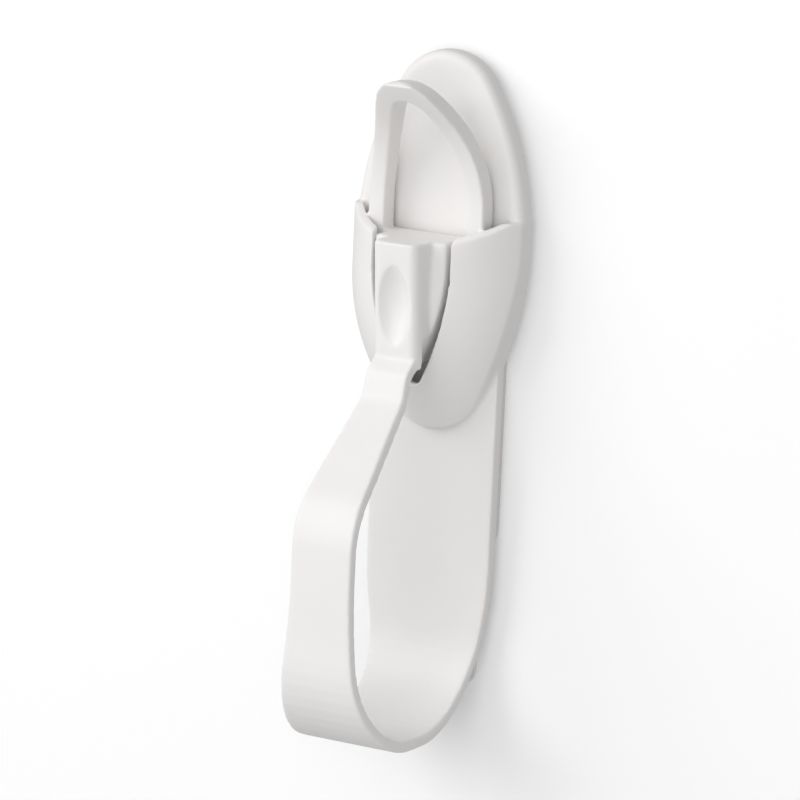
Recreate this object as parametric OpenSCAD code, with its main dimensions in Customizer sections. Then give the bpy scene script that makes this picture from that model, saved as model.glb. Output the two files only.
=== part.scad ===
// Adhesive cable clip: a soft moulded clip whose strap wraps a hanging bundle of cable and
// hooks its head into a slotted pocket, stuck to a wall by a stretch-release strip.
// The wall is the plane y = 0, the front looks along -Y, and x = 0 is the plane of symmetry.
// The origin is the centre of the strip's adhesive face.

/* [Shield] */
// Width of the oval shield
shield_w = 20.8; // [18:0.1:24]
// Height of the oval shield
shield_h = 41.4; // [38:0.1:46]
// Thickness of the shield
shield_t = 2.6; // [2.2:0.1:3.4]
// Radius of the shield's top and bottom ends
shield_end_r = 6.4; // [5.5:0.1:7.5]
// Rounding of the shield's front edge
shield_edge_r = 1; // [0.4:0.1:1.4]

/* [Back plate] */
// Width of the straight back plate
plate_w = 15.4; // [14:0.1:17]
// Thickness of the back plate
plate_t = 1.6; // [1.3:0.1:2]
// Length of plate that shows below the shield
plate_drop = 14.5; // [10:0.5:18]

/* [Pocket] */
// How far the pocket stands out of the shield
pocket_depth = 6.6; // [6:0.1:7.5]
// Wall of the pocket
pocket_wall = 1; // [0.8:0.1:1.2]
// Height of the pocket's front rim above the shield's bottom
pocket_rim_h = 21.3; // [20:0.1:23]
// Angle at which the rim climbs towards the shield
rim_slope = 26; // [15:1:35]
// How far the rim climbs before it runs level to the shield's edge
rim_rise = 2.6; // [1.5:0.1:4]
// Width of the gap between the two prongs
gap_w = 9.7; // [9:0.1:10.5]
// Height of the gap's rounded foot above the shield's bottom
gap_foot_h = 5.5; // [5:0.1:7]
// Radius of the gap's foot
gap_foot_r = 1; // [0.8:0.1:1.4]

/* [Strap head] */
// Running gap between the head and the pocket
head_clearance = 0.45; // [0.3:0.05:0.5]
// How much higher than the gap's foot the head's own foot ends
head_foot_up = 2; // [1:0.1:3]
// Width of the thumb pad
thumb_pad_w = 5.5; // [5:0.1:6]
// Distance of the thumb pad's top edge in front of the shield
thumb_pad_out = 9.3; // [9:0.1:10.5]
// Length of the thumb pad
thumb_pad_l = 13.8; // [12:0.1:14.5]
// Rounding of the thumb pad's front edges
thumb_pad_r = 1; // [0.4:0.1:1.2]
// How much wider each flank of the thumb pad is at its root
thumb_pad_flare = 0.4; // [0:0.1:1]
// Lean of the thumb pad's face
thumb_pad_lean = 5; // [0:1:8]
// Length of the oval dish in the thumb pad
dish_l = 12.2; // [9:0.1:12.6]
// Width of the oval dish
dish_w = 4; // [3:0.1:4.2]
// Depth of the oval dish
dish_depth = 1.2; // [0.6:0.1:1.5]

/* [Pull ring] */
// Width over the ring's two legs
ring_w = 14.2; // [13:0.1:14.6]
// Width of the finger hole
ring_hole_w = 10.3; // [9.6:0.1:10.8]
// Thickness of the ring
ring_t = 2.4; // [2:0.1:2.6]
// Angle at which the ring's top leans away from the shield
ring_lean = 42; // [30:1:46]
// Radius at which the ring bends away from the shield
ring_bend_r = 14; // [11:0.5:18]
// Height of the ring's arch
ring_arch_h = 14.7; // [13:0.1:16]
// Height of the band over the finger hole
ring_band = 2.3; // [2:0.1:3]

/* [Strap] */
// Thickness of the strap
strap_t = 1.3; // [1:0.1:1.5]
// Width of the strap at its neck under the head
strap_neck_w = 5.1; // [4.8:0.1:5.5]
// How far the strap swells out under the thumb pad before it runs down to the front
strap_knuckle = 1; // [0.5:0.1:1.5]
// Width of the strap where its front run begins
strap_front_w = 7.4; // [6.6:0.1:8.4]
// Width of the strap under the bundle
strap_low_w = 12; // [10:0.1:13]
// Room for the bundle between the plate and the strap's front run
bundle_depth = 21.4; // [19:0.1:24]
// Room for the bundle between the shield's bottom and the strap's lowest run
bundle_height = 31.7; // [30:0.1:36]
// Bend radius of the strap's two lower corners, on its centre line
strap_low_r = 10.3; // [7:0.1:11]
// Bend radius where the strap turns down in front of the bundle
strap_top_r = 8; // [6:0.1:9]

/* [Adhesive strip] */
// Width of the foam strip
strip_w = 14.8; // [13:0.1:15.3]
// Thickness of the foam strip
strip_t = 1; // [0.8:0.1:1.2]
// Length of the foam strip under the clip
strip_l = 47; // [44:0.5:48]
// How far the clip's plate reaches below the foam strip
strip_up = 1.65; // [0.5:0.05:3]
// Width of the pull tab
tab_w = 11; // [10:0.1:13]
// Length of the pull tab below the foam
tab_l = 12; // [8:0.5:14]
// Thickness of the pull tab
tab_t = 0.5; // [0.3:0.1:0.6]

/* [Hidden] */
$fn = 72;
far = 100;

// Levels, measured up the wall from the middle of the foam strip
plate_z = -strip_l / 2 - strip_up;
shield_bottom = plate_z + plate_drop;
shield_mid = shield_bottom + shield_h / 2;
shield_top = shield_bottom + shield_h;
rim_z = shield_bottom + pocket_rim_h;
gap_foot_z = shield_bottom + gap_foot_h;

// Distances from the wall
back_y = -strip_t;
shield_y = back_y - shield_t;
plate_y = back_y - plate_t;

// The pocket is a slice of a body turned about an upright axis behind the shield's face
pocket_r = (pow(shield_w / 2, 2) + pow(pocket_depth, 2)) / (2 * pocket_depth);
pocket_axis_y = shield_y + pocket_r - pocket_depth;
pocket_straight = 4.3;
pocket_curve_z = rim_z - pocket_straight;
pocket_curve_h = pocket_curve_z - shield_bottom;
pocket_curve_r = (pow(pocket_depth, 2) + pow(pocket_curve_h, 2)) / (2 * pocket_depth);

// The gap narrows to its foot in two arcs
gap_straight = 2.2;
gap_curve_z = rim_z - gap_straight;
gap_curve_h = gap_curve_z - gap_foot_z;

// The head sits in the pocket with the same gap all round
paddle_back_y = shield_y - head_clearance;
paddle_y = paddle_back_y - ring_t;
paddle_curve_h = 12;
paddle_foot_r = 2.5;
head_top = rim_z + 0.4;
ring_bend_z = rim_z + 4;
ring_arch_z = rim_z + 3.1;
ring_end_r = 4;
ring_hole_end_r = 2.3;
edge_r = 0.8;
edge_steps = 4;
arc_steps = 12;
tab_root = 8;
thumb_pad_y = shield_y - thumb_pad_out;
thumb_pad_foot_y = thumb_pad_y + thumb_pad_l * tan(thumb_pad_lean);
thumb_pad_z = head_top - thumb_pad_l;

// Corners of the strap's centre line in the side view, each as [y, z, bend radius]
strap_front_y = plate_y - bundle_depth - strap_t / 2;
strap_back_y = plate_y + strap_t / 2;
strap_mid_y = (strap_front_y + strap_back_y) / 2;
strap_low_z = shield_bottom - bundle_height - strap_t / 2;
strap_turn_drop = 6.6;
strap_turn_z = shield_bottom - strap_turn_drop;
strap_knuckle_l = 2.7;
strap_path = [
    [thumb_pad_foot_y + 1.5, thumb_pad_z + 1.5, 0],
    [thumb_pad_foot_y - strap_knuckle, thumb_pad_z - 0.65, 1.6],
    [thumb_pad_foot_y - strap_knuckle - 0.7, thumb_pad_z - 0.65 - strap_knuckle_l, 3],
    [strap_front_y, strap_turn_z, strap_top_r],
    [strap_front_y, strap_low_z, strap_low_r],
    [strap_back_y, strap_low_z, strap_low_r],
    [strap_back_y, plate_z + 2, 0]
];

// Radius of the two side arcs that join a half-width w to an end of radius r at height h
function side_r(w, h, r) = (w * w + pow(h - r, 2) - r * r) / (2 * (w - r));

// Points of an arc; from the second one on where it continues another
function arc(x, z, r, from, to, first = 0) =
    [for (i = [first : arc_steps]) let (a = from + (to - from) * i / arc_steps) [x + r * cos(a), z + r * sin(a)]];

// Upper half of an oval, from right to left: half-width w, height h, end radius r
function half_oval(w, h, r) = let (big = side_r(w, h, r), a = atan2(h - r, big - w)) concat(
    arc(w - big, 0, big, 0, a),
    arc(0, h - r, r, a, 180 - a, 1),
    arc(big - w, 0, big, 180 - a, 180, 1)
);
function flip(points) = [for (i = [len(points) - 1 : -1 : 0]) [points[i][0], -points[i][1]]];
function inner(points) = [for (i = [1 : len(points) - 2]) points[i]];

// A plate from an outline in the XZ plane, its back on y = 0
module plate(points, t) {
    rotate([90, 0, 0]) linear_extrude(t) polygon(points);
}

module rounded_plate(w, l, t, r) {
    rotate([90, 0, 0]) linear_extrude(t) {
        translate([-w / 2 + r, -l / 2]) square([w - 2 * r, l]);
        translate([-w / 2, -l / 2 + r]) square([w, l - 2 * r]);
        for (x = [-1, 1], z = [-1, 1])
            translate([x * (w / 2 - r), z * (l / 2 - r)]) circle(r);
    }
}

// One layer of a plate's rounded front edge: how far it is drawn in and how far it stands out
function edge_inset(i, edge) = edge * (1 - cos(90 * i / edge_steps));
function edge_out(i, edge) = edge * sin(90 * i / edge_steps);

module shield() {
    translate([0, back_y, shield_mid]) hull() for (i = [0 : edge_steps]) {
        d = edge_inset(i, shield_edge_r);
        half = half_oval(shield_w / 2 - d, shield_h / 2 - d, shield_end_r - d);
        plate(concat(half, inner(flip(half))), shield_t - shield_edge_r + edge_out(i, shield_edge_r));
    }
}

module back_plate() {
    top = shield_mid + shield_h / 4;
    translate([-plate_w / 2, plate_y, plate_z]) cube([plate_w, plate_t, top - plate_z]);
}

// The turned body that the pocket is cut from; inset thins it by one wall
module pocket_turning(inset) {
    curve_r = pocket_curve_r - inset;
    reach = pocket_r - inset;
    translate([0, pocket_axis_y, pocket_curve_z]) rotate_extrude($fn = 180) {
        square([reach, far / 4]);
        intersection() {
            translate([pocket_r - pocket_curve_r, 0]) circle(curve_r, $fn = 180);
            translate([0, -curve_r]) square([reach, curve_r]);
        }
    }
}

// Everything under the slanted rim
module below_rim() {
    translate([0, shield_y - pocket_depth, rim_z]) rotate([rim_slope, 0, 0])
        translate([-far / 2, -far / 2, -far]) cube([far, far, far]);
}

module gap_opening(inset, depth) {
    w = gap_w / 2 - inset;
    foot = flip(half_oval(w, gap_curve_h - inset, gap_foot_r - inset / 2));
    translate([0, shield_y, gap_curve_z]) plate(concat(foot, [[w, far / 4], [-w, far / 4]]), depth);
}

module pocket() {
    half = flip(half_oval(shield_w / 2, shield_h / 2, shield_end_r));
    sides = [[shield_w / 2, shield_h / 4], [-shield_w / 2, shield_h / 4]];
    difference() {
        intersection() {
            pocket_turning(0);
            translate([0, back_y, shield_mid]) plate(concat(half, sides), pocket_depth + shield_t + 1);
            below_rim();
            translate([-far / 2, -far / 2, rim_z + rim_rise - far]) cube([far, far, far]);
        }
        intersection() {
            pocket_turning(pocket_wall);
            translate([-far / 2, shield_y - far, -far / 2]) cube([far, far, far]);
        }
        gap_opening(0, pocket_depth + 1);
    }
}

// Side view of the pull ring: upright legs, then a bend away from the shield up to its top
module ring_side() {
    low = head_top - 1;
    top = ring_arch_z + ring_arch_h + 0.35;
    mid = ring_bend_r + ring_t / 2;
    bend_top = ring_bend_z + mid * sin(ring_lean);
    run = (top - bend_top) / cos(ring_lean);
    end = [mid * (1 - cos(ring_lean)) + run * sin(ring_lean), top - ring_bend_z];
    offset_y = ring_t / 2 * cos(ring_lean);
    offset_z = ring_t / 2 * sin(ring_lean);
    translate([paddle_back_y - ring_t / 2, ring_bend_z]) polygon(concat(
        [[ring_t / 2, low - ring_bend_z]],
        [for (p = arc(mid, 0, mid + ring_t / 2, 180, 180 - ring_lean)) [-p[0], p[1]]],
        [[-end[0] + offset_y, end[1] + offset_z], [-end[0] - offset_y, end[1] - offset_z]],
        [for (p = arc(mid, 0, mid - ring_t / 2, 180 - ring_lean, 180)) [-p[0], p[1]]],
        [[-ring_t / 2, low - ring_bend_z]]
    ));
}

// Front view of the ring, or of its finger hole: an arch on straight legs
module arch(w, h, r, below, depth) {
    translate([0, 0, ring_arch_z]) plate(concat(half_oval(w, h, r), [[-w, -below], [w, -below]]), depth);
}

module ring() {
    below = ring_arch_z - head_top + 2;
    difference() {
        intersection() {
            rotate([90, 0, 90]) translate([0, 0, -ring_w]) linear_extrude(2 * ring_w) ring_side();
            arch(ring_w / 2, ring_arch_h, ring_end_r, below, far);
        }
        arch(ring_hole_w / 2, ring_arch_h - ring_band, ring_hole_end_r, below + 1, far);
    }
}

// The part of the head behind the prongs, which joins the two legs
module paddle() {
    w = ring_w / 2;
    straight = 2;
    translate([0, paddle_back_y, head_top - straight]) hull() for (i = [0 : edge_steps]) {
        d = edge_inset(i, edge_r);
        foot = flip(half_oval(w - d, paddle_curve_h - d, paddle_foot_r - d));
        plate(concat(foot, [[w - d, straight], [d - w, straight]]), ring_t - edge_r + edge_out(i, edge_r));
    }
}

// The part of the head that fills the gap, flush with the pocket's outside. It narrows faster
// than the gap, whose foot stays open.
module plug() {
    intersection() {
        in_gap(pocket_depth + 1);
        pocket_turning(0.1);
    }
}

// Everything in line with the gap that clears both prongs
module in_gap(depth) {
    w = gap_w / 2 - head_clearance;
    foot = flip(half_oval(w, gap_curve_h - head_foot_up, gap_foot_r));
    top = head_top - gap_curve_z;
    translate([0, paddle_y + 1, gap_curve_z]) plate(concat(foot, [[w, top], [-w, top]]), depth);
}

// Section of the thumb pad: rounded front edges, and flanks that widen to the root
module thumb_pad_section() {
    w = thumb_pad_w / 2;
    root = thumb_pad_y - paddle_y - 1;
    polygon(concat(
        [[-w - thumb_pad_flare, -root]],
        arc(-w + thumb_pad_r, thumb_pad_r, thumb_pad_r, 180, 270),
        arc(w - thumb_pad_r, thumb_pad_r, thumb_pad_r, 270, 360),
        [[w + thumb_pad_flare, -root]]
    ));
}

// Its front part overhangs the prongs, and its root passes between them
module thumb_pad() {
    reach = thumb_pad_l + 2;
    overhang_y = shield_y - pocket_depth - 0.1;
    difference() {
        intersection() {
            translate([0, thumb_pad_y, head_top]) rotate([thumb_pad_lean, 0, 0])
                translate([0, 0, -reach]) linear_extrude(reach + 2) thumb_pad_section();
            rotate([90, 0, 90]) translate([0, 0, -plate_w / 2]) linear_extrude(plate_w) polygon(concat(
                [[thumb_pad_y - 1, head_top], [paddle_y + 0.5, head_top], [paddle_y + 0.5, thumb_pad_z]],
                arc(thumb_pad_foot_y + thumb_pad_r, thumb_pad_z + thumb_pad_r, thumb_pad_r, 270, 180 - thumb_pad_lean)
            ));
            union() {
                translate([-far / 2, overhang_y - far, -far / 2]) cube([far, far, far]);
                in_gap(far);
            }
        }
        dish();
    }
}

// A spindle whose axis lies just in front of the thumb pad
module dish() {
    half_l = dish_l / 2;
    spindle = (dish_w * dish_w / 4 + dish_depth * dish_depth) / (2 * dish_depth);
    arc_r = (half_l * half_l + spindle * spindle) / (2 * spindle);
    translate([0, thumb_pad_y, head_top]) rotate([thumb_pad_lean, 0, 0])
        translate([0, dish_depth - spindle, -thumb_pad_l / 2]) rotate_extrude() intersection() {
            translate([spindle - arc_r, 0]) circle(arc_r, $fn = 180);
            translate([0, -half_l]) square([spindle, dish_l]);
        }
}

function heading(a, b) = atan2(b[1] - a[1], b[0] - a[0]);
function turn(a, b, c) = let (d = heading(b, c) - heading(a, b)) d > 180 ? d - 360 : d < -180 ? d + 360 : d;
function beside(p, angle, d) = [p[0] - d * sin(angle), p[1] + d * cos(angle)];

// One face of the strap round a corner of its centre line, off to the left of it
function bend(a, b, c, off) = let (
    angle = turn(a, b, c),
    side = angle > 0 ? 1 : -1,
    back = b[2] * tan(abs(angle) / 2),
    start = [b[0] - back * cos(heading(a, b)), b[1] - back * sin(heading(a, b))],
    centre = beside(start, heading(a, b), side * b[2]),
    from = heading(a, b) - side * 90
) arc(centre[0], centre[1], b[2] - side * off, from, from + angle);

function strap_face(off) = let (last = len(strap_path) - 1) concat(
    [beside(strap_path[0], heading(strap_path[0], strap_path[1]), off)],
    [for (i = [1 : last - 1]) each bend(strap_path[i - 1], strap_path[i], strap_path[i + 1], off)],
    [beside(strap_path[last], heading(strap_path[last - 1], strap_path[last]), off)]
);

module strap_profile() {
    back = strap_face(-strap_t / 2);
    polygon(concat(strap_face(strap_t / 2), [for (i = [len(back) - 1 : -1 : 0]) back[i]]));
}

module strap() {
    full = max(plate_w, strap_low_w);
    intersection() {
        rotate([90, 0, 90]) translate([0, 0, -full / 2]) linear_extrude(full) strap_profile();
        union() {
            translate([0, strap_mid_y, 0]) rotate([90, 0, 0]) linear_extrude(far) front_outline();
            translate([0, strap_mid_y + far, 0]) rotate([90, 0, 0]) linear_extrude(far) back_outline();
            intersection() {
                translate([0, paddle_y, 0]) rotate([90, 0, 0]) linear_extrude(far) front_outline();
                translate([-far / 2, -far, strap_turn_z]) cube([far, far, far]);
            }
        }
    }
}

// Half of an outline is given, bottom up, and mirrored
module mirrored_outline(right) {
    polygon(concat(right, [for (i = [len(right) - 1 : -1 : 0]) [-right[i][0], right[i][1]]]));
}

// Half widths from one height to another, eased at both ends
function eased(w0, z0, w1, z1) =
    [for (i = [0 : arc_steps]) let (k = i / arc_steps) [w0 + (w1 - w0) * k * k * (3 - 2 * k), z0 + (z1 - z0) * k]];

module front_outline() {
    widening_z = strap_low_z + strap_low_r * 1.9;
    mirrored_outline(concat(
        [[strap_low_w / 2, strap_low_z - strap_t]],
        [for (i = [0 : arc_steps]) let (k = i / arc_steps)
            [strap_front_w / 2 + (strap_low_w - strap_front_w) / 2 * (1 - k) * (1 - k),
                strap_low_z + (widening_z - strap_low_z) * k]],
        eased(strap_front_w / 2, strap_turn_z - 1, strap_neck_w / 2, thumb_pad_z - 1),
        [[strap_neck_w / 2, head_top]]
    ));
}

module back_outline() {
    mirrored_outline(concat(
        [[strap_low_w / 2, strap_low_z - strap_t]],
        eased(strap_low_w / 2, strap_low_z + strap_t, plate_w / 2, plate_z - 1),
        [[plate_w / 2, plate_z + 4]]
    ));
}

module clip_body() {
    color("whitesmoke") {
        shield();
        back_plate();
        pocket();
        strap();
        thumb_pad();
        plug();
        paddle();
        ring();
    }
}

module adhesive_strip() {
    corner_r = 2;
    color("gainsboro") {
        rounded_plate(strip_w, strip_l, strip_t, corner_r);
        translate([0, 0, -strip_l / 2 - tab_l / 2]) rounded_plate(tab_w, tab_l + tab_root, tab_t, corner_r);
    }
}

clip_body();
adhesive_strip();
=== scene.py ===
from math import cos, radians, sin

import bmesh
import bpy
from mathutils import Matrix, Vector


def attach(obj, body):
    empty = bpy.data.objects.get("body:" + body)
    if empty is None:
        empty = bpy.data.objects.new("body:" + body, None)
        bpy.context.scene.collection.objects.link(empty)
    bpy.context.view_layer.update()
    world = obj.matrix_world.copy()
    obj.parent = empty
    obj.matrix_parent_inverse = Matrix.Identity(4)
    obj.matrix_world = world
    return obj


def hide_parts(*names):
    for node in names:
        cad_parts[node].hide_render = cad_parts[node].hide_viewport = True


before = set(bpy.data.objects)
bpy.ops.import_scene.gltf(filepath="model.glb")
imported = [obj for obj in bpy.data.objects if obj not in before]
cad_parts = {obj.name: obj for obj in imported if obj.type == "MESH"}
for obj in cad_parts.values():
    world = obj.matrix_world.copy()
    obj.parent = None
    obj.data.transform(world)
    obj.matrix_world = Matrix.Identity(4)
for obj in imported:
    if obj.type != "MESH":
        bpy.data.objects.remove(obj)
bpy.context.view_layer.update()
mm = 0.001

# Moulded clip: one soft thermoplastic moulding, made of the back plate, the oval shield, the
# slotted pocket, the strap round the bundle and the head with its finger ring. It comes out of
# the tool with small radii on every edge and a fine satin skin.
skin_voxel = 0.14 * mm
skin_rounds = 18
skin_keep = 0.3
merge_distance = 0.001 * mm

plastic_tones = (0.84, 0.825, 0.815), (0.865, 0.852, 0.843)
flow_scale = 45
skin_scale = 3200
skin_depth = 0.02 * mm


# A new finish with its shader, ready for nodes
def new_finish(name, roughness):
    finish = bpy.data.materials.new(name)
    finish.use_nodes = True
    shader = finish.node_tree.nodes["Principled BSDF"]
    shader.inputs["Roughness"].default_value = roughness
    return finish, shader, finish.node_tree.nodes, finish.node_tree.links


# A pattern node that follows the piece's own surface
def pattern(nodes, links, kind, **values):
    node = nodes.new(kind)
    for socket, value in values.items():
        node.inputs[socket].default_value = value
    place = nodes.new("ShaderNodeTexCoord")
    links.new(place.outputs["Object"], node.inputs["Vector"])
    return node


# Colours a surface from one tone to another by a pattern
def tone_by(nodes, links, source, shader, tones, start=0, end=1):
    ramp = nodes.new("ShaderNodeValToRGB")
    for stop, position, tone in zip(ramp.color_ramp.elements, (start, end), tones):
        stop.position = position
        stop.color = (*tone, 1)
    links.new(source, ramp.inputs["Fac"])
    links.new(ramp.outputs["Color"], shader.inputs["Base Color"])


# Raises and sinks a surface slightly by a pattern
def relief_by(nodes, links, source, shader, strength, depth):
    bump = nodes.new("ShaderNodeBump")
    bump.inputs["Strength"].default_value = strength
    bump.inputs["Distance"].default_value = depth
    links.new(source, bump.inputs["Height"])
    links.new(bump.outputs["Normal"], shader.inputs["Normal"])


plastic, shader, nodes, links = new_finish("satin_white_plastic", 0.42)
shader.inputs["Specular IOR Level"].default_value = 0.4
shader.inputs["Subsurface Weight"].default_value = 0.2
shader.inputs["Subsurface Radius"].default_value = (1.0, 0.9, 0.85)
shader.inputs["Subsurface Scale"].default_value = 1.0 * mm
flow = pattern(nodes, links, "ShaderNodeTexNoise", Scale=flow_scale, Detail=3)
tone_by(nodes, links, flow.outputs["Fac"], shader, plastic_tones, start=0.35, end=0.65)
skin = pattern(nodes, links, "ShaderNodeTexNoise", Scale=skin_scale, Detail=2)
relief_by(nodes, links, skin.outputs["Fac"], shader, strength=0.12, depth=skin_depth)

form = bmesh.new()
form.from_mesh(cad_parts["clip_body"].data)
bmesh.ops.remove_doubles(form, verts=form.verts, dist=merge_distance)
clip_mesh = bpy.data.meshes.new("moulded_clip")
form.to_mesh(clip_mesh)
form.free()
clip = bpy.data.objects.new("moulded_clip", clip_mesh)
bpy.context.scene.collection.objects.link(clip)
remesh = clip.modifiers.new("skin", "REMESH")
remesh.mode = "VOXEL"
remesh.voxel_size = skin_voxel
radii = clip.modifiers.new("radii", "SMOOTH")
radii.factor = 0.5
radii.iterations = skin_rounds
fewer = clip.modifiers.new("fewer", "DECIMATE")
fewer.ratio = skin_keep
bpy.context.view_layer.update()
done = clip.evaluated_get(bpy.context.evaluated_depsgraph_get())
clip_mesh = bpy.data.meshes.new_from_object(done)
clip.modifiers.clear()
clip.data = clip_mesh
clip_mesh.materials.clear()
clip_mesh.materials.append(plastic)
clip_mesh.shade_smooth()
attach(clip, "root")
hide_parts("clip_body")

# Foam strip: white closed-cell foam with adhesive on both faces, die-cut from sheet with rounded
# corners. Its cells show as fine pits on the cut edge.
foam_size = Vector((14.8, 1, 47)) * mm
foam_corner = 2 * mm
foam_rim = 0.08 * mm
foam_tones = (0.80, 0.79, 0.77), (0.70, 0.69, 0.67)
cell_scale = 3500
cell_depth = 0.05 * mm

foam_paint, shader, nodes, links = new_finish("white_foam", 0.75)
shader.inputs["Specular IOR Level"].default_value = 0.25
cells = pattern(nodes, links, "ShaderNodeTexVoronoi", Scale=cell_scale)
tone_by(nodes, links, cells.outputs["Distance"], shader, foam_tones)
relief_by(nodes, links, cells.outputs["Distance"], shader, strength=0.5, depth=cell_depth)


# A piece cut from sheet: its corners are cut round, and its rims are barely broken
def die_cut(name, size, middle, corner, rim, finish):
    form = bmesh.new()
    bmesh.ops.create_cube(form, size=1)
    bmesh.ops.scale(form, verts=form.verts, vec=size)
    bmesh.ops.translate(form, verts=form.verts, vec=middle)
    for through, width, steps in ((True, corner, 8), (False, rim, 2)):
        depths = [(e, abs(e.verts[0].co.y - e.verts[1].co.y)) for e in form.edges]
        edges = [e for e, depth in depths if through == (depth > size.y / 2)]
        bmesh.ops.bevel(
            form, geom=edges, offset=width, segments=steps, profile=0.5, affect="EDGES", material=-1
        )
    mesh = bpy.data.meshes.new(name)
    form.to_mesh(mesh)
    form.free()
    mesh.materials.append(finish)
    piece = bpy.data.objects.new(name, mesh)
    bpy.context.scene.collection.objects.link(piece)
    return piece


foam = die_cut("foam_strip", foam_size, (0, -foam_size.y / 2, 0), foam_corner, foam_rim, foam_paint)
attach(foam, "root")
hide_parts("adhesive_strip")

# Pull tab: a smooth translucent film, laminated to the foam's lower end against the wall and
# left bare of adhesive, so that it can be gripped and stretched to take the clip off.
tab_size = Vector((11, 0.5, 20)) * mm
tab_low = -39.5 * mm
tab_off_wall = 0.02 * mm
tab_corner = 2 * mm
tab_rim = 0.05 * mm
film_tones = (0.77, 0.77, 0.76), (0.80, 0.80, 0.79)
stretch_scale = 900

film, shader, nodes, links = new_finish("tab_film", 0.3)
shader.inputs["Subsurface Weight"].default_value = 0.2
shader.inputs["Subsurface Scale"].default_value = 0.5 * mm
stretch = pattern(nodes, links, "ShaderNodeTexWave", Scale=stretch_scale, Distortion=2)
stretch.bands_direction = "X"
tone_by(nodes, links, stretch.outputs["Fac"], shader, film_tones)

tab_middle = (0, -tab_size.y / 2 - tab_off_wall, tab_low + tab_size.z / 2)
tab = die_cut("pull_tab", tab_size, tab_middle, tab_corner, tab_rim, film)
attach(tab, "root")
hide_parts("adhesive_strip")

# Studio: a painted wall behind the clip and a pale floor below, which take the clip's soft
# shadow. Both show only to the camera and from their front, so the room also lights the back.
stage_reach = 1.5
floor_z = -0.5
wall_gap = 0.02 * mm
wall_glow = 0.06

wall_paint, shader, nodes, links = new_finish("white_wall_paint", 0.8)
shader.inputs["Base Color"].default_value = (0.95, 0.95, 0.955, 1)
shader.inputs["Specular IOR Level"].default_value = 0.2
shader.inputs["Emission Color"].default_value = (1, 1, 1, 1)
eye = nodes.new("ShaderNodeLightPath")
glow = nodes.new("ShaderNodeMath")
glow.operation = "MULTIPLY"
glow.inputs[1].default_value = wall_glow
links.new(eye.outputs["Is Camera Ray"], glow.inputs[0])
links.new(glow.outputs["Value"], shader.inputs["Emission Strength"])
facing = nodes.new("ShaderNodeNewGeometry")
shows = nodes.new("ShaderNodeMath")
shows.operation = "SUBTRACT"
shows.use_clamp = True
links.new(eye.outputs["Is Camera Ray"], shows.inputs[0])
links.new(facing.outputs["Backfacing"], shows.inputs[1])
clear = nodes.new("ShaderNodeBsdfTransparent")
choose = nodes.new("ShaderNodeMixShader")
links.new(shows.outputs["Value"], choose.inputs["Fac"])
links.new(clear.outputs["BSDF"], choose.inputs[1])
links.new(shader.outputs["BSDF"], choose.inputs[2])
links.new(choose.outputs["Shader"], nodes["Material Output"].inputs["Surface"])

for name, tilt, middle in (
    ("wall", 90, (0, wall_gap, floor_z + stage_reach)),
    ("floor", 0, (0, 0, floor_z)),
):
    form = bmesh.new()
    bmesh.ops.create_grid(form, x_segments=1, y_segments=1, size=stage_reach)
    bmesh.ops.rotate(form, verts=form.verts, matrix=Matrix.Rotation(radians(tilt), 3, "X"))
    bmesh.ops.translate(form, verts=form.verts, vec=middle)
    mesh = bpy.data.meshes.new(name)
    form.to_mesh(mesh)
    form.free()
    mesh.materials.append(wall_paint)
    backdrop = bpy.data.objects.new(name, mesh)
    bpy.context.scene.collection.objects.link(backdrop)

# Light: a big soft box to the upper left, a weaker one in front that opens the shade, and an
# even white room. Each lamp has its angle to the side and upwards, its size and its power.
lamps = (("soft_box", -46, 28, 0.5, 1.5), ("fill_box", 8, 12, 0.6, 1.2))
lamp_distance = 0.6
room_strength = 0.52
clip_middle = Vector((0, -10, -6.5)) * mm


# Direction from the clip, by its angle to the side and its angle upwards
def toward(side, up):
    return Vector((sin(side) * cos(up), -cos(side) * cos(up), sin(up)))


for name, side, up, size, power in lamps:
    lamp = bpy.data.lights.new(name, "AREA")
    lamp.shape = "DISK"
    lamp.size = size
    lamp.energy = power
    light = bpy.data.objects.new(name, lamp)
    light.location = clip_middle + lamp_distance * toward(radians(side), radians(up))
    light.rotation_euler = (clip_middle - light.location).to_track_quat("-Z", "Y").to_euler()
    bpy.context.scene.collection.objects.link(light)
room = bpy.data.worlds.new("white_room")
room.use_nodes = True
background = room.node_tree.nodes["Background"]
background.inputs["Color"].default_value = (1, 1, 1, 1)
background.inputs["Strength"].default_value = room_strength
bpy.context.scene.world = room
bpy.context.scene.view_settings.view_transform = "Standard"

# Camera: a long lens, 30 degrees to the clip's right and 12 degrees above it, a little rolled.
view_side, view_up, view_roll = radians(30), radians(12), radians(2.57)
view_distance = 0.6
view_height = 86 * mm
sensor = 36

lens = bpy.data.cameras.new("camera")
lens.sensor_width = lens.sensor_height = sensor
lens.lens = sensor * view_distance / view_height
camera = bpy.data.objects.new("camera", lens)
view_from = toward(view_side, view_up)
upright = view_from.to_track_quat("Z", "Y").to_matrix().to_4x4()
rolled = upright @ Matrix.Rotation(view_roll, 4, "Z")
camera.matrix_world = Matrix.Translation(clip_middle + view_distance * view_from) @ rolled
bpy.context.scene.collection.objects.link(camera)
bpy.context.scene.camera = camera
